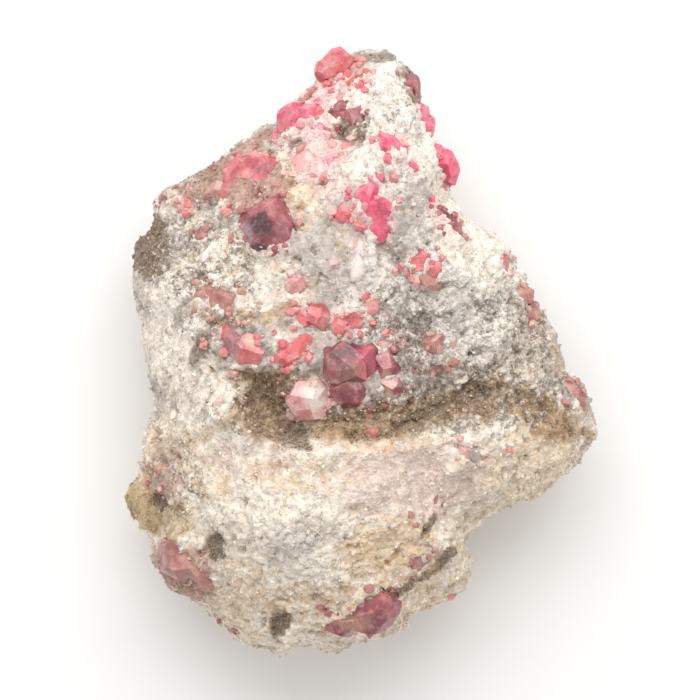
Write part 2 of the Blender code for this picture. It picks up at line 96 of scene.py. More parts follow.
# Patches of colour on the marble: tone, x, y, half length, half width, turn in degrees, strength
PATCHES = [
    ("white", -9, -24, 16, 9, 10, 0.5), ("white", -12, -31, 8, 5, 0, 0.5),
    ("grey", -3, 13, 14, 10, 20, 0.75), ("grey", 14, 5, 13, 10, -40, 0.75), ("grey", 11, 9, 5, 4, 0, 0.6),
    ("dark_grey", 7.6, -0.2, 4.0, 5.0, 0, 0.8), ("dark_grey", 3, 4, 4.4, 1.8, 20, 0.6),
    ("dark_grey", 5.4, 16, 1.4, 6, 10, 0.5), ("dark_grey", 17.5, 9.5, 1.6, 3.4, 10, 0.5),
    ("dark_grey", 4.6, 26.2, 2.6, 1.4, -20, 0.7),
    ("white", 5.2, 33, 4.0, 6.5, 0, 0.9), ("white", 9.0, 29.0, 2.4, 5.6, 20, 0.9),
    ("white", -0.6, 27.2, 3.4, 2.0, 10, 0.8), ("white", 17.8, 14.3, 6.4, 4.4, -35, 0.9),
    ("white", 19.6, 4.2, 3.4, 5, 0, 0.8), ("white", 12.6, 20.2, 2.4, 3.6, 40, 0.6),
    ("white", -28.0, 2.6, 4.8, 7.6, 0, 0.95), ("white", -20, 13.8, 2.2, 4.6, -35, 0.9),
    ("white", -12.6, 8.6, 4.6, 4.2, 0, 0.85), ("white", -10.6, 1.6, 2.0, 2.6, 0, 0.9),
    ("white", -25.6, 19.4, 3, 2, 20, 0.7), ("cream", -9.4, 24.4, 2.6, 5, 20, 0.8),
    ("lichen", -31.4, 15.6, 3.0, 4.6, 0, 0.95), ("lichen", -26.5, 5.6, 2.6, 1.2, 60, 0.6),
    ("pink_stain", -6.4, 37.4, 4.8, 3, 45, 0.8), ("pink_stain", -6.0, 30.4, 4.6, 4.6, 60, 0.85),
    ("pink_stain", -5.4, 25.4, 3.6, 3.0, 0, 0.5), ("pink_stain", 5.6, 29.4, 4.6, 1.8, -55, 0.7),
    ("pink_stain", 12.2, 19.4, 2.6, 1.6, -50, 0.6), ("pink_stain", 1.8, 17.8, 3.6, 3.6, 0, 0.5),
    ("pink_haze", -1, 5.4, 6, 2.2, 20, 0.7), ("pink_haze", 5.4, -9.4, 3.4, 2.6, 0, 0.5),
    ("dusty", -15.6, 23.6, 5.6, 5.6, 30, 0.8), ("dusty", -22.2, 25.2, 5.4, 2.8, 30, 0.85),
    ("dusty", -27, -33, 5.6, 4.6, -20, 0.8), ("dusty", -29.6, -19.4, 3.4, 3.6, 0, 0.7),
    ("dusty", 27.5, 2.4, 2.4, 6, 30, 0.4),
    ("pink_haze", 7.5, -19.5, 12, 5.5, 0, 0.75), ("pink_haze", 22, -15.5, 6, 2.6, 15, 0.5),
    ("pink_haze", -16, -15.5, 7, 3.0, 10, 0.5), ("grey", -18, -13.6, 4.6, 2.0, -20, 0.45),
    ("white", 3.7, 40.9, 3.6, 2.8, 20, 0.6), ("white", 21.0, -12.8, 2.6, 2.6, 30, 0.95),
    ("white", 14.8, -13.4, 3, 2, 0, 0.7), ("cream", 26.0, -15.2, 8.0, 4.0, 30, 0.9),
    ("white", 21.8, -4.4, 2.6, 2.2, 40, 0.8),
    ("brown", -13.6, -8.6, 5.0, 5.4, 0, 0.85), ("brown", -15.2, -3.6, 4.4, 2.0, 0, 0.75),
    ("dark_brown", -9.2, -13.2, 3.0, 1.3, -50, 0.7), ("dark_brown", 17.4, -4.2, 3.4, 1.5, -30, 0.75),
    ("dark_brown", 24.6, -8.2, 3.6, 1.6, 0, 0.7), ("brown", 32.4, -12.6, 2.4, 1.8, 0, 0.8),
    ("olive", -33.0, -23.2, 3, 4.2, 20, 0.95), ("olive", -27.6, -25.4, 2.4, 3.2, 10, 0.6),
    ("ochre", -32.0, -20.0, 1.0, 1.8, 0, 0.9), ("dark_brown", -29.8, -22.6, 1.0, 1.6, -20, 0.8),
    ("beige", 27, 3, 3.6, 7, 25, 0.5), ("beige", 24, -1.6, 4, 3.4, 0, 0.5),
    ("dark_brown", -12.1, -41, 2.2, 1.5, 70, 0.85), ("dark_brown", -21.6, -29.2, 1.5, 2.2, 20, 0.8),
    # The dark brown patch at x -1.2, y 33.2 is painted shade in the hollow under the garnet clusters near
    # the pointed end
    ("dark_brown", -1.2, 33.2, 2.6, 2.4, 40, 0.7), ("dark_grey", 2.6, 43.9, 2.6, 1.1, 0, 0.85),
    ("dark_brown", 7.4, 40.0, 1.3, 3.2, 20, 0.6), ("dark_grey", -24.6, 26.4, 3, 1.2, 35, 0.5),
    ("grey", -9.6, -27.6, 2.6, 2.4, 0, 0.6), ("dark_brown", 10, -26.2, 0.6, 1.8, -30, 0.8),
    ("dark_brown", -24, 0.4, 1.3, 2.6, -20, 0.7), ("dark_brown", -9.4, 30.6, 1.2, 0.7, 0, 0.6),
]

# Patches that follow a line: tone, points, half width, strength
LINE_PATCHES = [
    ("brown", [(-4.6, -11.2), (5.9, -10), (13.4, -8.2), (20.9, -6.9), (28.9, -10.5)], 3.0, 0.95),
    ("dark_brown", [(-2, -12.6), (4, -12), (9, -9.4), (14.6, -6.6), (18.2, -4)], 0.9, 0.5),
    ("brown", [(-24, 6), (-20, 4), (-15, 4.6), (-10, 6.2)], 1.1, 0.7),
    ("brown", [(-30, -14), (-24, -13), (-19, -10)], 1.2, 0.4),
    ("white", [(1.2, 18), (2.8, 13), (2.2, 8.6)], 1.0, 0.6),
    ("dusty", [(-23, 26.6), (-18, 30), (-13.6, 32.6)], 1.0, 0.8),
    ("dark_brown", [(2.5, -36.4), (7, -35), (11.6, -32.2), (13.6, -29.8)], 0.7, 0.75),
    ("cream", [(22, -21.4), (27, -18.6), (31.6, -15.6)], 1.8, 0.9),
]

# Where specks are thick: kind, x, y, half length, half width, amount from 0 to 1
SPECK_AREAS = [
    ("rust", 3.7, -29.5, 6, 4.6, 0.85), ("rust", 9, -36, 5, 4, 0.6), ("rust", -9, -37, 8, 3, 0.6),
    ("rust", -17, -35, 5, 4, 0.55), ("rust", -8, -18.5, 9, 3, 0.6), ("rust", -21, -19, 5, 3, 0.5),
    ("rust", 4, -13.4, 8, 2, 0.6), ("rust", -14, 8, 8, 6, 0.45), ("rust", -18, 14, 8, 6, 0.45),
    ("rust", -8.5, 23, 3, 6, 0.5), ("rust", -2, 17, 3, 2, 0.4), ("rust", 24, -13, 8, 5, 0.45),
    ("rust", -16, -8, 6, 4, 0.45), ("rust", 20, -5, 8, 4, 0.4),
    ("dark", -23, 14, 8, 8, 0.65), ("dark", 12, -8, 16, 4, 0.8), ("dark", -13, -8, 7, 6, 0.75),
    ("dark", 22, 2, 7, 9, 0.65), ("dark", -20, 3, 6, 4, 0.6), ("dark", 6, 4, 7, 7, 0.6),
    ("dark", -28, -20, 5, 6, 0.5), ("dark", -26, -33, 6, 5, 0.4), ("dark", 2, -38, 12, 5, 0.35),
    ("dark", 6, 37, 4, 5, 0.45), ("dark", -31, 15, 3, 5, 0.6), ("dark", 27, -6, 6, 5, 0.6),
    ("fleck", 8, 6, 12, 12, 0.7), ("fleck", 22, 0, 9, 12, 0.7), ("fleck", -22, 12, 9, 10, 0.6),
    ("fleck", 14, -8, 14, 4, 0.45), ("fleck", -12, -27, 10, 9, 0.5), ("fleck", 5, 32, 6, 9, 0.8),
]

# How the marble's surface breaks: kind, x, y, half length, half width, turn in degrees
SURFACES = [
    ("puffs", 6.4, 32, 4.6, 8.6, 10), ("puffs", 17, 15, 7, 5, -35), ("puffs", 19.4, 4.6, 4, 6, 0),
    ("puffs", -20, 13, 13, 9, 10), ("puffs", -13, 3, 7, 6, 0), ("puffs", -2, 27, 6, 3, 0),
    ("puffs", -10, -30, 15, 8, 0), ("puffs", 22, -13, 7, 3, 20),
    ("streaks", 1, 13, 12, 9, 0), ("streaks", 13, 5, 9, 9, 0), ("streaks", 24, 4, 5, 9, 25),
    ("crumbs", -13, -8, 6, 5.6, 0), ("crumbs", 3, -11, 10, 3.4, 5), ("crumbs", 20, -7, 11, 4, 0),
    ("calm", -32, 15.4, 3.4, 5, 0), ("calm", -33, -23, 3.4, 4.4, 20), ("calm", 3.7, 41, 3.4, 2.8, 20),
    ("calm", 4, -19, 14, 6, 0), ("calm", -28, 2.6, 4, 6, 0), ("calm", -18, -14, 8, 4, 0),
]

# Colours of the garnets, as linear red, green and blue: body, light parts, and depth inside
GARNET_TINTS = {
    "garnet_coral": ((0.94, 0.20, 0.22), (0.95, 0.48, 0.42), (0.68, 0.09, 0.12)),
    "garnet_hot": ((0.94, 0.14, 0.24), (0.95, 0.40, 0.46), (0.66, 0.05, 0.12)),
    "garnet_rose": ((0.78, 0.20, 0.21), (0.90, 0.47, 0.42), (0.46, 0.08, 0.10)),
    "garnet_light": ((0.92, 0.48, 0.46), (0.95, 0.74, 0.68), (0.74, 0.26, 0.27)),
    "garnet_mauve": ((0.50, 0.21, 0.18), (0.72, 0.45, 0.37), (0.24, 0.08, 0.08)),
    "garnet_wine": ((0.42, 0.10, 0.12), (0.68, 0.32, 0.29), (0.14, 0.025, 0.04)),
}

# Colours laid over parts of the garnets: colour, x, y, half length, half width, strength
GARNET_PATCHES = [
    ((0.90, 0.80, 0.70), -7.0, -6.6, 1.7, 2.4, 0.9), ((0.80, 0.45, 0.36), -7.6, -4.6, 1.8, 0.8, 0.6),
    ((0.06, 0.03, 0.04), -14.9, 18.6, 1.6, 1.5, 0.85), ((0.07, 0.02, 0.03), -15.2, 14.6, 2.4, 1.5, 0.8),
    ((0.50, 0.38, 0.42), -17.0, 17.0, 1.0, 1.8, 0.7), ((0.55, 0.28, 0.30), -11.4, 17.6, 1.4, 2.2, 0.35),
    ((0.26, 0.16, 0.12), -7.0, -1.6, 1.2, 1.2, 0.85), ((0.66, 0.12, 0.18), 0.9, -2.2, 1.3, 2.6, 0.8),
    ((0.28, 0.15, 0.11), -1.8, -3.4, 2.0, 2.0, 0.6), ((0.12, 0.05, 0.06), -2.4, -0.4, 2.2, 1.0, 0.7),
    ((0.80, 0.66, 0.58), 4.0, -8.0, 2.6, 1.8, 0.8), ((0.75, 0.52, 0.42), 4.0, -4.6, 1.6, 1.4, 0.5),
    ((0.62, 0.42, 0.30), -16.4, 1.4, 1.4, 1.1, 0.9), ((0.42, 0.24, 0.27), -19.2, 1.0, 1.2, 2.4, 0.75),
    ((0.72, 0.16, 0.15), -13.9, -0.9, 1.5, 1.6, 0.7), ((0.40, 0.36, 0.30), -30.2, -19.8, 1.3, 2.0, 0.85),
    ((0.42, 0.38, 0.32), 17.0, -15.4, 1.2, 1.5, 0.9), ((0.60, 0.28, 0.22), -24.4, -31.4, 2.4, 1.4, 0.8),
    ((0.66, 0.34, 0.26), -1.0, -40.6, 2.6, 1.6, 0.8), ((0.36, 0.08, 0.09), 3.4, -40.0, 1.6, 2.6, 0.7),
    ((0.60, 0.40, 0.30), -17.4, 23.6, 2.6, 1.8, 0.8), ((0.62, 0.12, 0.18), -13.9, 26.2, 2.0, 2.4, 0.6),
    ((0.90, 0.26, 0.34), -9.8, 34.4, 2.2, 2.0, 0.7), ((0.85, 0.55, 0.52), -8.6, 31.0, 1.2, 1.2, 0.8),
    ((0.94, 0.40, 0.42), -5.0, 42.2, 1.4, 1.4, 0.7), ((0.82, 0.07, 0.15), 13.4, 26.8, 2.0, 1.6, 0.8),
    ((0.36, 0.16, 0.10), 33.2, -8.6, 1.2, 1.2, 0.7), ((0.62, 0.28, 0.28), 31.4, -6.6, 1.2, 1.6, 0.7),
]

# Small garnets that stand by themselves: tint, x, y, length, width, turn in degrees
SMALL_GARNETS = [
    ("garnet_rose", -3.0, 37.6, 1.5, 1.5, 0), ("garnet_coral", -4.2, 38.8, 1.4, 0.9, -20),
    ("garnet_wine", -7.8, 38.4, 3.4, 0.9, 50), ("garnet_rose", -6.0, 35.6, 2.0, 1.7, 30),
    ("garnet_light", -5.4, 32.0, 2.2, 1.8, 0), ("garnet_rose", -4.4, 30.4, 2.0, 1.5, 20),
    ("garnet_rose", -2.2, 30.2, 1.8, 1.6, 40), ("garnet_wine", -9.0, 29.8, 2.2, 1.0, 50),
    ("garnet_hot", -4.6, 28.2, 1.6, 1.5, 0), ("garnet_light", -1.4, 31.6, 1.6, 1.1, 0),
    ("garnet_coral", -5.4, 25.6, 1.4, 1.3, 0), ("garnet_light", -6.6, 29.8, 3.0, 2.2, 30),
    ("garnet_coral", 0.0, 18.6, 1.8, 1.6, 10), ("garnet_light", -4.2, 20.6, 1.8, 1.6, 0),
    ("garnet_coral", -0.6, 15.4, 1.4, 1.3, 0), ("garnet_light", -4.0, 13.0, 1.4, 1.2, 0),
    ("garnet_rose", 1.9, 6.6, 2.6, 1.5, 70), ("garnet_rose", 0.8, 8.0, 1.6, 1.0, 60),
    ("garnet_light", 3.2, 0.6, 2.4, 1.8, 20), ("garnet_coral", 6.2, 1.0, 0.9, 0.9, 0),
    ("garnet_rose", 4.8, 25.6, 1.4, 1.3, 0), ("garnet_hot", 7.8, 27.4, 1.7, 1.1, -50),
    ("garnet_hot", 3.4, 31.6, 2.0, 1.0, -60), ("garnet_light", 6.0, 31.2, 2.4, 1.4, -50),
    ("garnet_hot", 10.2, 22.6, 2.6, 1.3, -60), ("garnet_mauve", 13.9, 23.4, 2.8, 1.4, -60),
    ("garnet_mauve", 15.2, 21.0, 2.2, 1.0, -60), ("garnet_light", 11.6, 31.6, 3.6, 1.8, -62),
    ("garnet_light", 9.2, 39.6, 2.2, 1.2, -70), ("garnet_coral", 22.2, -14.9, 1.2, 0.6, -10),
    ("garnet_wine", 7.4, -24.2, 1.5, 0.8, -40), ("garnet_wine", 8.2, -25.8, 1.0, 0.8, 0),
    ("garnet_wine", 11.2, -21.8, 1.8, 0.5, 80), ("garnet_coral", 13.3, -36.8, 2.2, 1.6, 0),
    ("garnet_rose", 1.8, -12.2, 1.7, 1.4, 0), ("garnet_light", -20.8, -7.4, 1.8, 1.4, 20),
    ("garnet_mauve", -17.0, 29.4, 3.2, 1.6, 40), ("garnet_rose", -16.0, 28.6, 2.4, 2.2, 0),
    ("garnet_mauve", -21.6, 24.0, 3.2, 2.0, 30), ("garnet_coral", -19.6, 20.6, 2.0, 1.3, 0),
    ("garnet_mauve", 24.2, 9.4, 3.8, 0.8, -60),
    ("garnet_mauve", 9.8, 10.2, 3.4, 1.8, -30),
]


def points_of(mesh):
    """The mesh's points, in millimetres."""
    flat = np.empty(len(mesh.vertices) * 3, dtype=np.float32)
    mesh.vertices.foreach_get("co", flat)
    return flat.reshape(-1, 3).astype(float) / MM


def set_points(mesh, points):
    """Move the mesh's points to places in millimetres."""
    mesh.vertices.foreach_set("co", (points * MM).astype(np.float32).ravel())
    mesh.update()


def normals_of(mesh):
    """Which way the mesh faces at each of its points."""
    flat = np.empty(len(mesh.vertices) * 3, dtype=np.float32)
    mesh.vertex_normals.foreach_get("vector", flat)
    return flat.reshape(-1, 3).astype(float)


def edges_of(mesh):
    """The mesh's edges, as pairs of point numbers."""
    flat = np.empty(len(mesh.edges) * 2, dtype=np.int32)
    mesh.edges.foreach_get("vertices", flat)
    return flat.reshape(-1, 2)


def paint(mesh, name, colours, domain="POINT"):
    """Store a colour at each point or corner of the mesh."""
    layer = mesh.attributes.new(name, "FLOAT_COLOR", domain)
    full = np.ones((len(colours), 4), dtype=np.float32)
    full[:, :3] = colours
    layer.data.foreach_set("color", full.ravel())


def swell(points, size, shift=0.0, octaves=3):
    """Smooth noise with forms of about the given size, from about -1 to 1."""
    places = (points / size + shift).tolist()
    return np.array([noise.fractal(place, 0.8, 2.0, octaves) for place in places])


def cells(points, size, shift=0.0):
    """Scattered cells of about the given size: distance to the nearest middle and to the next, in
    cells, the offset from the middle, and three random numbers for each cell."""
    scaled = points / size + shift
    found = [noise.voronoi(place) for place in scaled.tolist()]
    gaps = np.array([near[:2] for near, _ in found])
    middles = np.array([middle[0][:] for _, middle in found])
    mixed = np.sin(middles @ np.array([[12.9898, 39.346, 73.156], [78.233, 11.135, 52.235],
                                       [37.719, 83.155, 9.151]])) * 43758.5453
    return gaps[:, 0], gaps[:, 1], scaled - middles, mixed - np.floor(mixed)


def smooth_step(low, high, values):
    """0 below low, 1 above high, and an even curve between them."""
    share = np.clip((values - low) / (high - low), 0, 1)
    return share * share * (3 - 2 * share)


def blur(values, edges, rounds):
    """Even out values at a mesh's points along its edges."""
    values = values.astype(float)
    count = len(values)
    links = np.bincount(edges.ravel(), minlength=count)
    for _ in range(rounds):
        columns = values.reshape(count, -1)
        total = np.empty_like(columns)
        for axis in range(columns.shape[1]):
            column = columns[:, axis]
            total[:, axis] = (np.bincount(edges[:, 0], column[edges[:, 1]], count)
                              + np.bincount(edges[:, 1], column[edges[:, 0]], count))
        values = ((columns + total / links[:, None]) / 2).reshape(values.shape)
    return values


def add_piece(name, mesh, replaced=()):
    """Link a mesh as a piece of the object that rides on its one body."""
    thing = bpy.data.objects.new(name, mesh)
    bpy.context.scene.collection.objects.link(thing)
    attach(thing, "root")
    if replaced:
        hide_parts(*replaced)
    return thing


def remeshed(shape, voxel, name):
    """One skin of even fineness round everything in a bmesh, which is freed."""
    mesh = bpy.data.meshes.new(name)
    shape.to_mesh(mesh)
    shape.free()
    thing = bpy.data.objects.new(name, mesh)
    bpy.context.scene.collection.objects.link(thing)
    even = thing.modifiers.new("even", "REMESH")
    even.mode = "VOXEL"
    even.voxel_size = voxel * MM
    even.use_smooth_shade = True
    state = bpy.context.evaluated_depsgraph_get()
    state.update()
    result = bpy.data.meshes.new_from_object(thing.evaluated_get(state))
    result.name = name
    bpy.data.objects.remove(thing, do_unlink=True)
    return result


def node_shape(name):
    """A node's solid as a bmesh with its points merged."""
    shape = bmesh.new()
    shape.from_mesh(frame["nodes"][name].data)
    bmesh.ops.remove_doubles(shape, verts=shape.verts[:], dist=1e-7)
    return shape


def wrap(shape, corners):
    """Add the hull round some points to a bmesh."""
    hull = bmesh.ops.convex_hull(shape, input=corners)
    loose = {v for v in hull["geom_interior"] + hull["geom_unused"] if isinstance(v, bmesh.types.BMVert)}
    bmesh.ops.delete(shape, geom=list(loose), context="VERTS")


def plug_socket(rock, walls, node):
    """Fill the hollow that one crystal sits in, so that the rock's skin closes round it."""
    reach = SOCKET_REACH * MM
    crystal = node_shape(node)
    tree = BVHTree.FromBMesh(crystal)
    low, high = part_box(node)
    inside = ((walls > np.array(low) - reach) & (walls < np.array(high) + reach)).all(axis=1)
    near = [place for place in walls[inside] if tree.find_nearest(Vector(place), reach)[0]]
    crystal.free()
    if len(near) > 3:
        wrap(rock, [rock.verts.new(place) for place in near])


def set_crystals():
    """The names of the nodes that are set in the rock."""
    return [node for node in frame["nodes"] if node != "matrix"]


def make_bare_skin():
    """The bare rock with its sockets filled, evened out."""
    rock = node_shape("matrix")
    walls = np.array([vertex.co for vertex in rock.verts])
    for node in set_crystals():
        plug_socket(rock, walls, node)
    skin = remeshed(rock, SKIN_VOXEL, "skin")
    set_points(skin, blur(points_of(skin), edges_of(skin), 3))
    return skin


def ellipse_share(plan, wobble, x, y, half_length, half_width, turn=0.0):
    """1 inside a patch with a ragged edge, falling to 0 outside it."""
    angle = math.radians(turn)
    dx = plan[:, 0] - x
    dy = plan[:, 1] - y
    along = (dx * math.cos(angle) + dy * math.sin(angle)) / half_length
    across = (dy * math.cos(angle) - dx * math.sin(angle)) / half_width
    return smooth_step(1.25, 0.75, np.hypot(along, across) + wobble)


def line_share(plan, wobble, points, half_width):
    """1 along a line of points with a ragged edge, falling to 0 away from it."""
    line = np.array(points, dtype=float)
    nearest = np.full(len(plan), np.inf)
    for start, end in zip(line[:-1], line[1:]):
        run = end - start
        along = np.clip(((plan - start) @ run) / (run @ run), 0, 1)
        nearest = np.minimum(nearest, np.linalg.norm(plan - start - along[:, None] * run, axis=1))
    return smooth_step(1.2, 0.6, nearest / half_width + wobble)


def lay(base, tone, share):
    """Lay a colour over the colours, by a share at each point."""
    return base + (np.array(tone) - base) * share[:, None]


def marble_colours(points, facing, depth, grain):
    """The colour of the marble at each point of its skin, with painted shade laid into its hollows."""
    plan = points[:, :2]
    broad = swell(points, 9.0, 3.3)
    fine = swell(points, 1.6, 9.1)
    wobble = swell(points, 4.0, 5.7) * 0.35 + fine * 0.35
    lobe = smooth_step(-8, -14, plan[:, 1] + broad * 3)
    colours = np.tile(np.array(TONES["grey"]), (len(points), 1))
    colours = lay(colours, TONES["white"], smooth_step(-0.1, 0.5, broad + fine * 0.6))
    colours = lay(colours, TONES["cream"], lobe * 0.85)
    colours = lay(colours, TONES["white"], lobe * smooth_step(-0.2, 0.3, fine + broad * 0.4) * 0.8)
    colours = lay(colours, TONES["beige"], smooth_step(0.2, 0.6, swell(points, 2.4, 1.2)) * 0.4)
    seen = smooth_step(-0.6, -0.1, facing[:, 2])
    for tone, x, y, half_length, half_width, turn, strength in PATCHES:
        share = ellipse_share(plan, wobble, x, y, half_length, half_width, turn)
        colours = lay(colours, TONES[tone], share * strength * seen)
    for tone, line, half_width, strength in LINE_PATCHES:
        colours = lay(colours, TONES[tone], line_share(plan, wobble, line, half_width) * strength * seen)
    # Painted shade: brown darkening laid into pits, creases and hollows, stronger where the skin sinks
    # further, standing in for the shadow they hold
    colours = lay(colours, TONES["brown"], smooth_step(0.0, 1.2, -depth) * 0.45)
    return colours * (0.90 + 0.2 * grain)[:, None]


def speck_shares(points):
    """How thick rust specks, dark specks and white flecks lie at each point."""
    plan = points[:, :2]
    wobble = swell(points, 3.0, 2.2) * 0.5
    shares = {"rust": np.full(len(points), 0.15), "dark": np.full(len(points), 0.12),
              "fleck": np.full(len(points), 0.2)}
    for kind, x, y, half_length, half_width, amount in SPECK_AREAS:
        share = ellipse_share(plan, wobble, x, y, half_length, half_width) * amount
        shares[kind] = np.maximum(shares[kind], share)
    return np.column_stack([shares["rust"], shares["dark"], shares["fleck"]])


def surface_shares(points):
    """How far the marble breaks in puffs, streaks, crumbs or calmly at each point."""
    wobble = swell(points, 3.5, 6.3) * 0.4
    shares = {kind: np.zeros(len(points)) for kind in ("puffs", "streaks", "crumbs", "calm")}
    for kind, x, y, half_length, half_width, turn in SURFACES:
        share = ellipse_share(points[:, :2], wobble, x, y, half_length, half_width, turn)
        shares[kind] = np.maximum(shares[kind], share)
    return shares


def crust(points, tree):
    """How far sugary crust climbs against the crystals at each point, in millimetres."""
    reach = CRUST_REACH
    away = np.full(len(points), reach)
    for index, place in enumerate(points):
        spot, normal, _, distance = tree.find_nearest(Vector(place) * MM, reach * MM)
        if spot is not None:
            outside = (Vector(place) * MM - spot).dot(normal) > 0
            away[index] = distance / MM if outside else -distance / MM
    climb = smooth_step(reach, 0.2, away) * smooth_step(-0.9, -0.2, away)
    return climb * (0.45 + 0.45 * swell(points, 1.1, 4.9))


def break_skin(skin, crystals):
    """Break up the rock's smooth skin into ledges, grains and pits, and colour it."""
    points = points_of(skin)
    facing = normals_of(skin)
    kinds = surface_shares(points)
    calm = 1 - 0.65 * kinds["calm"]
    _, _, offset, luck = cells(points, 3.2)
    ledges = (offset * (luck - 0.5)).sum(axis=1) * 0.9 * (1 - 0.6 * kinds["puffs"]) * calm
    near2, far2, offset2, luck2 = cells(points, 1.2, 4.4)
    grains = ((luck2[:, 0] - 0.5) * 0.22 + (offset2 * (luck2 - 0.5)).sum(axis=1) * 0.35) * calm
    puffs = (0.45 - 0.75 * near2 ** 2) * kinds["puffs"]
    creases = -0.16 * smooth_step(0.12, 0.0, far2 - near2) * (1 - 0.5 * kinds["calm"])
    _, _, _, luck3 = cells(points, 0.75, 1.7)
    crumbs = (luck3[:, 0] - 0.5) * (0.10 + 0.55 * kinds["crumbs"]) * calm
    along = points * np.array([1.0, 0.22, 1.0])
    streaks = swell(along, 0.9, 3.9, 2) * 0.32 * kinds["streaks"]
    lumps = swell(points, 5.0, 7.7, 4) * 0.35
    pits = -0.9 * smooth_step(0.42, 0.75, swell(points, 2.0, 8.8, 3)) * calm
    rise = crust(points, crystals)
    height = ledges + grains + puffs + creases + crumbs + streaks + lumps + pits + rise
    # How far each point sinks into a pit, crease or hollow, used to paint shade there
    depth = creases * 2 + pits + puffs + np.minimum(lumps, 0) + np.minimum(grains, 0)
    moved = points + facing * height[:, None]
    moved[:, 2] = np.maximum(moved[:, 2], 0.0)
    set_points(skin, moved)
    # The tone layer holds the marble's colour with the painted shade in its hollows, and the loose grains
    # take their colour from it too
    paint(skin, "tone", marble_colours(points, facing, np.minimum(depth, 0), luck2[:, 1]))
    paint(skin, "specks", speck_shares(points))


def part_skin(skin, material):
    """Part the skin at the waist, so that each piece stays light, and hide the seam."""
    points = points_of(skin)
    facing = normals_of(skin)
    colours = {name: np.empty(len(points) * 4, dtype=np.float32) for name in ("tone", "specks")}
    for name, values in colours.items():
        skin.attributes[name].data.foreach_get("color", values)
    faces = np.array([polygon.vertices[:] for polygon in skin.polygons])
    upper = points[faces][:, :, 2].mean(axis=1) > WAIST
    for name, chosen in (("matrix_top", upper), ("matrix_base", ~upper)):
        kept, corners = np.unique(faces[chosen], return_inverse=True)
        mesh = bpy.data.meshes.new(name)
        mesh.from_pydata(points[kept] * MM, [], corners.reshape(-1, 4).tolist())
        for layer, values in colours.items():
            paint(mesh, layer, values.reshape(-1, 4)[kept, :3])
        mesh.shade_smooth()
        mesh.normals_split_custom_set_from_vertices(facing[kept].tolist())
        mesh.materials.append(material)
        add_piece(name, mesh, ["matrix"])


def chip(shape, outward, count, depth):
    """Break flat pieces off a crystal's outer side."""
    for _ in range(count):
        lean = Vector([picks.gauss(0, 1) for _ in range(3)]).normalized()
        normal = (outward * 1.3 + lean).normalized()
        reach = max(vertex.co.dot(normal) for vertex in shape.verts)
        cut = reach - picks.uniform(0.25, 1.0) * depth
        everything = shape.verts[:] + shape.edges[:] + shape.faces[:]
        made = bmesh.ops.bisect_plane(shape, geom=everything, plane_co=normal * cut, plane_no=normal,
                                      clear_outer=True, dist=1e-7)
        rim = [item for item in made["geom_cut"] if isinstance(item, bmesh.types.BMEdge)]
        if rim:
            bmesh.ops.holes_fill(shape, edges=rim)


def join_flat_faces(shape):
    """Join triangles that lie in one plane into whole facets."""
    bmesh.ops.dissolve_limit(shape, angle_limit=math.radians(2), verts=shape.verts[:],
                             edges=shape.edges[:])


def facet_luck(face):
    """A random number that all the triangles of one flat facet share."""
    normal = face.normal
    key = (round(normal.x, 1), round(normal.y, 1), round(normal.z, 1),
           round(face.calc_center_median().dot(normal) / MM / 0.15))
    return random.Random(str(key)).random()


def garnet_colours(points, slot, seed):
    """The colour of a garnet at each point, from light to deep."""
    body, light, deep = (np.array(colour) for colour in GARNET_TINTS[slot])
    tone = swell(points, 1.8, seed, 3)
    colours = np.tile(body, (len(points), 1))
    colours = lay(colours, light, smooth_step(0.05, 0.7, tone) * 0.7)
    colours = lay(colours, deep, smooth_step(0.0, -0.6, tone) * 0.7)
    wobble = swell(points, 0.9, seed + 3) * 0.4
    for colour, x, y, half_length, half_width, strength in GARNET_PATCHES:
        colours = lay(colours, colour, ellipse_share(points[:, :2], wobble, x, y, half_length, half_width)
                      * strength)
    return colours


def make_garnet(node, slot, outward, material):
    """One garnet or cluster with broken faces and worn edges, in place of its plain solid, each facet
    painted lighter or darker to stand for the light it catches.
    """
    shape = node_shape(node)
    low, high = (Vector(corner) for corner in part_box(node))
    size = min(high - low)
    join_flat_faces(shape)
    chip(shape, outward, CHIPS, size * 0.14)
    join_flat_faces(shape)
    bmesh.ops.bevel(shape, geom=shape.edges[:], offset=WORN_EDGE * MM, segments=1, affect="EDGES",
                    clamp_overlap=True)
    bmesh.ops.triangulate(shape, faces=shape.faces[:])
    layer = shape.faces.layers.float.new("luck")
    shape.normal_update()
    for face in shape.faces:
        face[layer] = facet_luck(face)
    for _ in range(3):
        long_edges = [edge for edge in shape.edges if edge.calc_length() > LONGEST_EDGE * MM]
        bmesh.ops.subdivide_edges(shape, edges=long_edges, cuts=1)
        bmesh.ops.triangulate(shape, faces=shape.faces[:])
    mesh = bpy.data.meshes.new(f"{node}_crystals")
    shape.to_mesh(mesh)
    shape.free()
    points = points_of(mesh)
    seed = sum(map(ord, node)) % 89
    colours = garnet_colours(points, slot, seed)
    corners = np.empty(len(mesh.loops), dtype=np.int32)
    mesh.loops.foreach_get("vertex_index", corners)
    luck = np.empty(len(mesh.polygons), dtype=np.float32)
    mesh.attributes["luck"].data.foreach_get("value", luck)
    # Painted light: each flat facet is made lighter or darker at random, standing in for the way each
    # facet catches the light
    bright = 0.76 + 0.5 * np.repeat(luck, 3)
    paint(mesh, "tone", np.clip(colours[corners] * bright[:, None], 0, 0.95), "CORNER")
    mesh.materials.append(material)
    add_piece(f"{node}_crystals", mesh, [node])


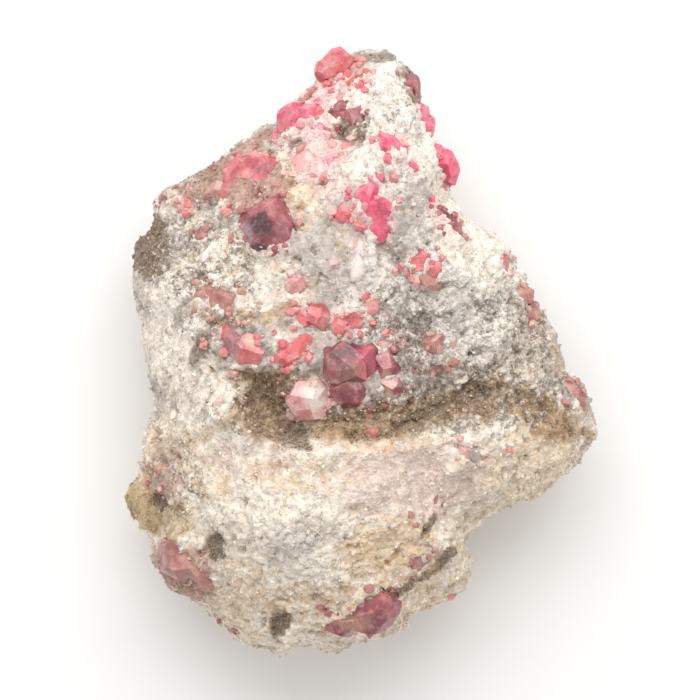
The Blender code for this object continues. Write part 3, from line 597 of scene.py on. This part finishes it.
def make_calcite(node, material):
    """One smooth calcite piece in place of its plain solid."""
    mesh = remeshed(node_shape(node), CALCITE_VOXEL, f"{node}_face")
    points = blur(points_of(mesh), edges_of(mesh), 2)
    set_points(mesh, points)
    facing = normals_of(mesh)
    _, _, offset, luck = cells(points, 2.4, 2.0)
    steps = (offset * (luck - 0.5)).sum(axis=1) * 0.5
    set_points(mesh, points + facing * (steps + swell(points, 1.8, 6.1, 3) * 0.16)[:, None])
    mesh.materials.append(material)
    add_piece(f"{node}_face", mesh, [node])


def add_node(tree, kind, inputs=(), **settings):
    """Add a shader node with its settings, inputs and links."""
    made = tree.nodes.new(kind)
    for key, value in settings.items():
        setattr(made, key, value)
    for key, value in dict(inputs).items():
        if isinstance(value, bpy.types.NodeSocket):
            tree.links.new(value, made.inputs[key])
        else:
            made.inputs[key].default_value = value
    return made


def blend(tree, factor, a, b, kind="MIX"):
    """Mix two colours in a shader."""
    made = tree.nodes.new("ShaderNodeMix")
    made.data_type = "RGBA"
    made.blend_type = kind
    for index, value in ((0, factor), (6, a), (7, b)):
        if isinstance(value, bpy.types.NodeSocket):
            tree.links.new(value, made.inputs[index])
        else:
            made.inputs[index].default_value = value if index == 0 else (*value, 1.0)
    return made.outputs[2]


def ramp(tree, value, low, high, bottom=0.0, top=1.0):
    """Map a value from one range to another in a shader, without overshoot."""
    made = add_node(tree, "ShaderNodeMapRange", {"Value": value, "From Min": low, "From Max": high,
                                                 "To Min": bottom, "To Max": top})
    return made.outputs["Result"]


def math_node(tree, operation, a, b):
    """Work out one sum in a shader."""
    return add_node(tree, "ShaderNodeMath", {0: a, 1: b}, operation=operation).outputs[0]


def new_material(name):
    """An empty Principled material: the material, its tree, its shader and its coordinates."""
    material = bpy.data.materials.new(name)
    material.use_nodes = True
    tree = material.node_tree
    place = add_node(tree, "ShaderNodeTexCoord").outputs["Object"]
    return material, tree, tree.nodes["Principled BSDF"], place


def grain_cells(tree, place, size):
    """Scattered cells of a size in millimetres in a shader."""
    return add_node(tree, "ShaderNodeTexVoronoi", {"Vector": place, "Scale": 1 / (size * MM)})


def clouds(tree, place, size, detail=3.0, roughness=0.5, seed=0.0):
    """Noise of a size in millimetres in a shader."""
    made = add_node(tree, "ShaderNodeTexNoise",
                    {"Vector": place, "W": seed, "Scale": 1 / (size * MM), "Detail": detail,
                     "Roughness": roughness}, noise_dimensions="4D")
    return made.outputs["Fac"]


def layer_colour(tree, name):
    """A colour stored at the mesh's points."""
    return add_node(tree, "ShaderNodeAttribute", attribute_name=name).outputs["Color"]


def parts_of(tree, colour):
    """The red, green and blue of a colour."""
    return add_node(tree, "ShaderNodeSeparateColor", {"Color": colour}).outputs


def stain(tree, place, share, size, seed, low, high, reach):
    """How much a ragged stain covers, where it is thick by the given share."""
    spread = math_node(tree, "MULTIPLY", share, reach)
    value = math_node(tree, "ADD", clouds(tree, place, size, 9.0, 0.72, seed), spread)
    return ramp(tree, value, low, high)


def marble_material(name, layered):
    """Sugary marble. The skin has speck layers, which loose grains do without."""
    material, tree, shader, place = new_material(name)
    sugar = grain_cells(tree, place, 0.40)
    lot = parts_of(tree, sugar.outputs["Color"])
    rough = clouds(tree, place, 1.1, 8.0, 0.75, 1.0)
    bright = math_node(tree, "MULTIPLY", ramp(tree, lot[0], 0, 1, 0.84, 1.12),
                       ramp(tree, rough, 0.32, 0.68, 0.72, 1.22))
    grey = add_node(tree, "ShaderNodeCombineColor", {"Red": bright, "Green": bright, "Blue": bright})
    colour = blend(tree, 1.0, layer_colour(tree, "tone"), grey.outputs["Color"], "MULTIPLY")
    if layered:
        share = parts_of(tree, layer_colour(tree, "specks"))
        fleck = stain(tree, place, share[2], 0.8, 5.0, 0.62, 0.72, 0.22)
        colour = blend(tree, math_node(tree, "MULTIPLY", fleck, 0.8), colour, (0.90, 0.86, 0.80))
        rust = stain(tree, place, share[0], 1.3, 9.0, 0.60, 0.74, 0.26)
        tint = blend(tree, ramp(tree, clouds(tree, place, 0.6, 4.0, 0.6, 2.0), 0.4, 0.62),
                     TONES["ochre"], TONES["rust"])
        colour = blend(tree, math_node(tree, "MULTIPLY", rust, 0.55), colour, tint)
        dark = stain(tree, place, share[1], 0.9, 14.0, 0.60, 0.72, 0.22)
        colour = blend(tree, math_node(tree, "MULTIPLY", dark, 0.75), colour, (0.13, 0.095, 0.07))
    tree.links.new(colour, shader.inputs["Base Color"])
    tree.links.new(ramp(tree, lot[1], 0.0, 0.25, 0.4, 0.85), shader.inputs["Roughness"])
    height = math_node(tree, "ADD", sugar.outputs["Distance"], rough)
    bump = add_node(tree, "ShaderNodeBump", {"Height": height, "Strength": 0.6, "Distance": 0.0002})
    tree.links.new(bump.outputs["Normal"], shader.inputs["Normal"])
    shader.inputs["Specular IOR Level"].default_value = 0.35
    return material


def garnet_material(name):
    """Glassy garnet, lit from within, with cloudy veils and frosted parts."""
    material, tree, shader, place = new_material(name)
    tone = layer_colour(tree, "tone")
    veil = ramp(tree, clouds(tree, place, 1.0, 6.0, 0.65, 3.0), 0.52, 0.70, 0.0, 0.5)
    colour = blend(tree, veil, tone, (0.90, 0.52, 0.48))
    deep = ramp(tree, clouds(tree, place, 0.8, 5.0, 0.6, 7.0), 0.46, 0.34, 0.0, 0.45)
    colour = blend(tree, deep, colour, (0.20, 0.02, 0.04))
    tree.links.new(colour, shader.inputs["Base Color"])
    dull = clouds(tree, place, 0.9, 6.0, 0.7, 11.0)
    tree.links.new(ramp(tree, dull, 0.42, 0.65, 0.12, 0.6), shader.inputs["Roughness"])
    bump = add_node(tree, "ShaderNodeBump", {"Height": clouds(tree, place, 0.5, 6.0, 0.65, 1.0),
                                             "Strength": 0.35, "Distance": 0.00015})
    tree.links.new(bump.outputs["Normal"], shader.inputs["Normal"])
    shader.inputs["IOR"].default_value = 1.73
    shader.inputs["Transmission Weight"].default_value = 0.15
    shader.inputs["Subsurface Weight"].default_value = 0.35
    shader.inputs["Subsurface Radius"].default_value = (1.0, 0.25, 0.25)
    shader.inputs["Subsurface Scale"].default_value = 0.0008
    return material


def calcite_material(name):
    """Waxy calcite that lets a little light in."""
    material, tree, shader, place = new_material(name)
    cloud = clouds(tree, place, 2.0, 5.0, 0.6, 2.0)
    colour = blend(tree, ramp(tree, cloud, 0.35, 0.65), (0.78, 0.68, 0.64), (0.94, 0.83, 0.78))
    tree.links.new(colour, shader.inputs["Base Color"])
    tree.links.new(ramp(tree, cloud, 0.3, 0.7, 0.25, 0.55), shader.inputs["Roughness"])
    bump = add_node(tree, "ShaderNodeBump", {"Height": clouds(tree, place, 0.8, 5.0), "Strength": 0.4,
                                             "Distance": 0.0002})
    tree.links.new(bump.outputs["Normal"], shader.inputs["Normal"])
    shader.inputs["Subsurface Weight"].default_value = 0.5
    shader.inputs["Subsurface Radius"].default_value = (1.0, 0.9, 0.8)
    shader.inputs["Subsurface Scale"].default_value = 0.0012
    return material


def random_turns(count):
    """Random rotations as matrices."""
    quaternion = chance.normal(size=(count, 4))
    w, x, y, z = (quaternion / np.linalg.norm(quaternion, axis=1)[:, None]).T
    return np.stack([
        np.stack([1 - 2 * (y * y + z * z), 2 * (x * y - z * w), 2 * (x * z + y * w)], axis=1),
        np.stack([2 * (x * y + z * w), 1 - 2 * (x * x + z * z), 2 * (y * z - x * w)], axis=1),
        np.stack([2 * (x * z - y * w), 2 * (y * z + x * w), 1 - 2 * (x * x + y * y)], axis=1),
    ], axis=1)


def shape_arrays(shape):
    """A bmesh's points and triangles, and the bmesh freed."""
    bmesh.ops.triangulate(shape, faces=shape.faces[:])
    shape.verts.index_update()
    points = np.array([vertex.co for vertex in shape.verts])
    triangles = np.array([[vertex.index for vertex in face.verts] for face in shape.faces])
    shape.free()
    return points, triangles


def crumb_template():
    """An angular grain one unit across."""
    shape = bmesh.new()
    for place in chance.normal(size=(9, 3)):
        shape.verts.new(place / np.linalg.norm(place) * chance.uniform(0.38, 0.55))
    wrap(shape, shape.verts[:])
    return shape_arrays(shape)


def garnet_template():
    """A twelve-faced garnet one unit across, with broken corners."""
    shape = bmesh.new()
    bmesh.ops.create_cube(shape, size=1 / math.sqrt(2))
    bmesh.ops.poke(shape, faces=shape.faces[:], offset=0.5 / math.sqrt(2))
    chip(shape, Vector((0, 0, 0)), 4, 0.14)
    return shape_arrays(shape)


def join_copies(name, spots, sizes, templates, colours, turns, stretch):
    """Many small pieces as one mesh, each with its own turn, stretch and colour."""
    which = chance.integers(len(templates), size=len(spots))
    all_points, all_triangles, all_colours = [], [], []
    start = 0
    for number, (shape_points, triangles) in enumerate(templates):
        chosen = np.flatnonzero(which == number)
        turned = np.einsum("nij,nkj->nki", turns[chosen], shape_points[None])
        placed = turned * sizes[chosen, None, None] * stretch[chosen, None, :] + spots[chosen, None, :]
        offsets = start + np.arange(len(chosen))[:, None, None] * len(shape_points)
        all_points.append(placed.reshape(-1, 3))
        all_triangles.append((triangles[None] + offsets).reshape(-1, 3))
        all_colours.append(np.repeat(colours[chosen], len(shape_points), axis=0))
        start += len(chosen) * len(shape_points)
    mesh = bpy.data.meshes.new(name)
    points = np.vstack(all_points)
    points[:, 2] = np.maximum(points[:, 2], 0.0)
    mesh.from_pydata(points * MM, [], np.vstack(all_triangles))
    paint(mesh, "tone", np.vstack(all_colours))
    return mesh


def scatter(name, spots, sizes, templates, colours, material):
    """Add many small pieces with random turns and stretches."""
    turns = random_turns(len(spots))
    stretch = chance.uniform(0.8, 1.25, size=(len(spots), 3))
    mesh = join_copies(name, spots, sizes, templates, np.clip(colours, 0, 0.95), turns, stretch)
    mesh.materials.append(material)
    add_piece(name, mesh)


def draw_spots(points, facing, weights, count, sizes, sink):
    """Places on the skin drawn by weight, each sunk by a part of its piece's size."""
    drawn = chance.choice(len(points), size=count, p=weights / weights.sum())
    sideways = chance.normal(size=(count, 3)) * 0.12
    return points[drawn] + sideways - facing[drawn] * (sizes * sink)[:, None], drawn


def make_grains(points, facing, tone, material):
    """Loose sugary grains and crumbs over the rock."""
    templates = [crumb_template() for _ in range(6)]
    bright = tone.mean(axis=1)
    for name, weights, count, low, high, light in (
        ("grains_white", smooth_step(0.3, 0.75, bright) + 0.02, 9000, 0.3, 0.85, "white"),
        ("grains_cream", np.ones(len(points)), 6000, 0.3, 0.7, "cream"),
        ("grains_brown", smooth_step(0.5, 0.2, bright) + 0.01, 5000, 0.3, 0.8, "brown"),
    ):
        sizes = chance.uniform(low, high, count)
        spots, drawn = draw_spots(points, facing, weights, count, sizes, 0.15)
        share = chance.uniform(0.1, 0.6, count)[:, None]
        colours = tone[drawn] * (1 - share) + np.array(TONES[light]) * share
        colours *= chance.uniform(0.85, 1.15, count)[:, None]
        scatter(name, spots, sizes, templates, colours, material)


def make_garnet_crumbs(points, facing, templates, materials):
    """Garnet crumbs close round the larger garnets."""
    for slot, (body, light, deep) in GARNET_TINTS.items():
        nodes = [part["node"] for part in frame["record"]["subparts"] if part["material_slot"] == slot]
        weights = np.zeros(len(points))
        for node in nodes:
            low, high = (np.array(corner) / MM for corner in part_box(node))
            middle = (low + high) / 2
            away = np.linalg.norm((points - middle) / ((high - low) / 2 + 0.6), axis=1)
            weights = np.maximum(weights, smooth_step(1.2, 0.9, away))
        count = 30 + 14 * len(nodes)
        sizes = 0.4 + 0.9 * chance.random(count) ** 2
        spots, drawn = draw_spots(points, facing, weights, count, sizes, 0.1)
        share = chance.random(count)[:, None]
        colours = np.array(body) * (1 - share) + np.array(light) * share
        scatter(f"crumbs_{slot}", spots, sizes, templates, colours, materials[slot])


def make_small_garnets(tree, templates, materials):
    """The small garnets that stand by themselves."""
    for slot in GARNET_TINTS:
        spots, turns, colours = [], [], []
        for tint, x, y, length, width, turn in SMALL_GARNETS:
            hit = tree.ray_cast(Vector((x * MM, y * MM, 0.1)), Vector((0, 0, -1)))
            if tint != slot or hit[0] is None:
                continue
            spots.append(np.array(hit[0]) / MM - np.array(hit[1]) * width * 0.1)
            angle = math.radians(turn)
            flat = np.array([[math.cos(angle), -math.sin(angle), 0], [math.sin(angle), math.cos(angle), 0],
                             [0, 0, 1]])
            turns.append(flat @ np.diag([length, width, width]) @ random_turns(1)[0])
            body, light, _ = GARNET_TINTS[slot]
            share = picks.random()
            colours.append(np.array(body) * (1 - share) + np.array(light) * share)
        if spots:
            mesh = join_copies(f"small_{slot}", np.array(spots), np.ones(len(spots)), templates,
                               np.array(colours), np.array(turns), np.ones((len(spots), 3)))
            mesh.materials.append(materials[slot])
            add_piece(f"small_{slot}", mesh)


def make_floor():
    """A plain pale floor."""
    bpy.ops.mesh.primitive_plane_add(size=6.0)
    floor = bpy.context.object
    floor.name = "floor"
    material, _, shader, _ = new_material("floor")
    shader.inputs["Base Color"].default_value = (0.92, 0.915, 0.905, 1.0)
    shader.inputs["Roughness"].default_value = 0.8
    shader.inputs["Specular IOR Level"].default_value = 0.2
    floor.data.materials.append(material)


def make_lights():
    """A broad soft light beyond the pointed end, and even light from all round."""
    world = bpy.data.worlds.new("studio")
    bpy.context.scene.world = world
    world.use_nodes = True
    world.node_tree.nodes["Background"].inputs["Color"].default_value = (1.0, 0.99, 0.985, 1.0)
    world.node_tree.nodes["Background"].inputs["Strength"].default_value = 0.74
    key = bpy.data.lights.new("key", "AREA")
    key.shape = "RECTANGLE"
    key.size = 0.7
    key.size_y = 0.4
    key.energy = 2.6
    lamp = bpy.data.objects.new("key", key)
    lamp.location = (0.0, 0.34, 0.46)
    lamp.rotation_euler = (Vector((0, 0, 0.015)) - lamp.location).to_track_quat("-Z", "Y").to_euler()
    bpy.context.scene.collection.objects.link(lamp)
    bpy.context.scene.view_settings.view_transform = "Standard"


def make_camera():
    """A camera straight above, far enough off that the tall middle isn't magnified."""
    distance = 1.2
    waist = 0.016
    view_width = 0.105
    camera = bpy.data.cameras.new("camera")
    camera.sensor_width = 36.0
    camera.lens = camera.sensor_width * distance / view_width
    camera.clip_start = 0.01
    holder = bpy.data.objects.new("camera", camera)
    holder.location = (-0.0016, 0.0001, waist + distance)
    bpy.context.scene.collection.objects.link(holder)
    bpy.context.scene.camera = holder


def tree_of(names):
    """One tree for finding the nearest point of several nodes, each point with its outward side."""
    points, triangles = [], []
    for name in names:
        shape = node_shape(name)
        shape_points, shape_triangles = shape_arrays(shape)
        triangles.extend((shape_triangles + len(points)).tolist())
        points.extend(Vector(point) for point in shape_points)
    return BVHTree.FromPolygons(points, triangles)


def outward_at(skin_tree, node):
    """Which way the rock faces where a crystal is set."""
    low, high = (Vector(corner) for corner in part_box(node))
    return skin_tree.find_nearest((low + high) / 2)[1]


def dress():
    """Make every piece of the specimen."""
    marble = marble_material("marble_skin", True)
    loose = marble_material("marble_grains", False)
    garnets = {slot: garnet_material(slot) for slot in GARNET_TINTS}
    calcite = calcite_material("calcite")
    skin = make_bare_skin()
    bare = BVHTree.FromPolygons([vertex.co for vertex in skin.vertices],
                                [tuple(face.vertices) for face in skin.polygons])
    for part in frame["record"]["subparts"]:
        node, slot = part["node"], part["material_slot"]
        if slot in garnets:
            make_garnet(node, slot, outward_at(bare, node), garnets[slot])
        elif slot == "calcite":
            make_calcite(node, calcite)
    break_skin(skin, tree_of(set_crystals()))
    points = points_of(skin)
    facing = normals_of(skin)
    tone = np.empty(len(points) * 4, dtype=np.float32)
    skin.attributes["tone"].data.foreach_get("color", tone)
    tone = tone.reshape(-1, 4)[:, :3].astype(float)
    broken = BVHTree.FromPolygons([vertex.co for vertex in skin.vertices],
                                  [tuple(face.vertices) for face in skin.polygons])
    part_skin(skin, marble)
    make_grains(points, facing, tone, loose)
    templates = [garnet_template() for _ in range(5)]
    make_garnet_crumbs(points, facing, templates, garnets)
    make_small_garnets(broken, templates, garnets)


make_camera()
make_lights()
make_floor()
dress()
